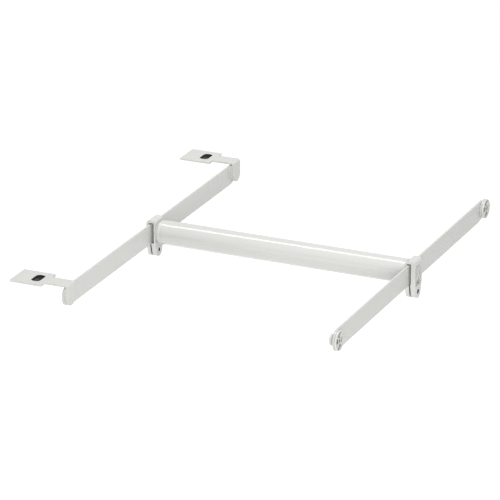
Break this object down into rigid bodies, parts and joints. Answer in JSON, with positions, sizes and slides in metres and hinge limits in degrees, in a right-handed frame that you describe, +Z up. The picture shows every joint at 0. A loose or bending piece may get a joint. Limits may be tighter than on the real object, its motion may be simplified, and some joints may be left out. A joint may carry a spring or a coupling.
{
  "type": "adjustable clothes rail",
  "caption": "Adjustable clothes rail: a telescopic tube clipped between flat side bars, with padded tabs to hang one side and screw discs to fix the other.",
  "frame": {"origin": "midway between the tab pads, on the plane of their undersides", "axes": "+X along the tube from the tabs to the discs, +Y along the side bars from front to back, +Z up"},
  "size_m": [0.4291, 0.525, 0.0504],
  "materials": {
    "white_coat": "satin powder coat",
    "white_plastic": "moulded gloss",
    "black_rubber": "matt"
  },
  "bodies": {
    "left_side": {"left_side_bar": "white_coat", "front_hanger": "white_coat", "rear_hanger": "white_coat", "front_tab_pad": "black_rubber", "rear_tab_pad": "black_rubber"},
    "inner_rail": {"left_clip": "white_plastic", "left_clamp_nut": "white_coat", "inner_tube": "white_coat", "inner_tube_guide": "white_plastic"},
    "left_screw": {"left_clamp_screw": "white_coat"},
    "outer_rail": {"outer_tube": "white_coat", "outer_tube_bush": "white_plastic", "right_clip": "white_plastic", "right_clamp_nut": "white_coat"},
    "right_screw": {"right_clamp_screw": "white_coat"},
    "right_side": {"right_side_bar": "white_coat", "front_wall_disc": "white_plastic", "rear_wall_disc": "white_plastic", "front_disc_boss": "white_plastic", "rear_disc_boss": "white_plastic"}
  },
  "joints": [
    {"name": "clip_slide", "type": "slide", "parent": "left_side", "child": "inner_rail", "axis": [0, 1, 0], "range_m": [-0.215, 0.215]},
    {"name": "rail_extension", "type": "slide", "parent": "inner_rail", "child": "outer_rail", "axis": [1, 0, 0], "range_m": [-0.003, 0.242]},
    {"name": "right_bar_slide", "type": "slide", "parent": "outer_rail", "child": "right_side", "axis": [0, 1, 0], "range_m": [-0.215, 0.215]},
    {"name": "left_clamp_turn", "type": "hinge", "parent": "inner_rail", "child": "left_screw", "pos_m": [0.04655, 0, -0.0367], "axis": [1, 0, 0], "range_deg": [-504, 0]},
    {"name": "right_clamp_turn", "type": "hinge", "parent": "outer_rail", "child": "right_screw", "pos_m": [0.38655, 0, -0.0367], "axis": [-1, 0, 0], "range_deg": [-504, 0]}
  ],
  "couplings": [
    {"joint": "right_bar_slide", "follows": "clip_slide", "ratio": -1}
  ]
}
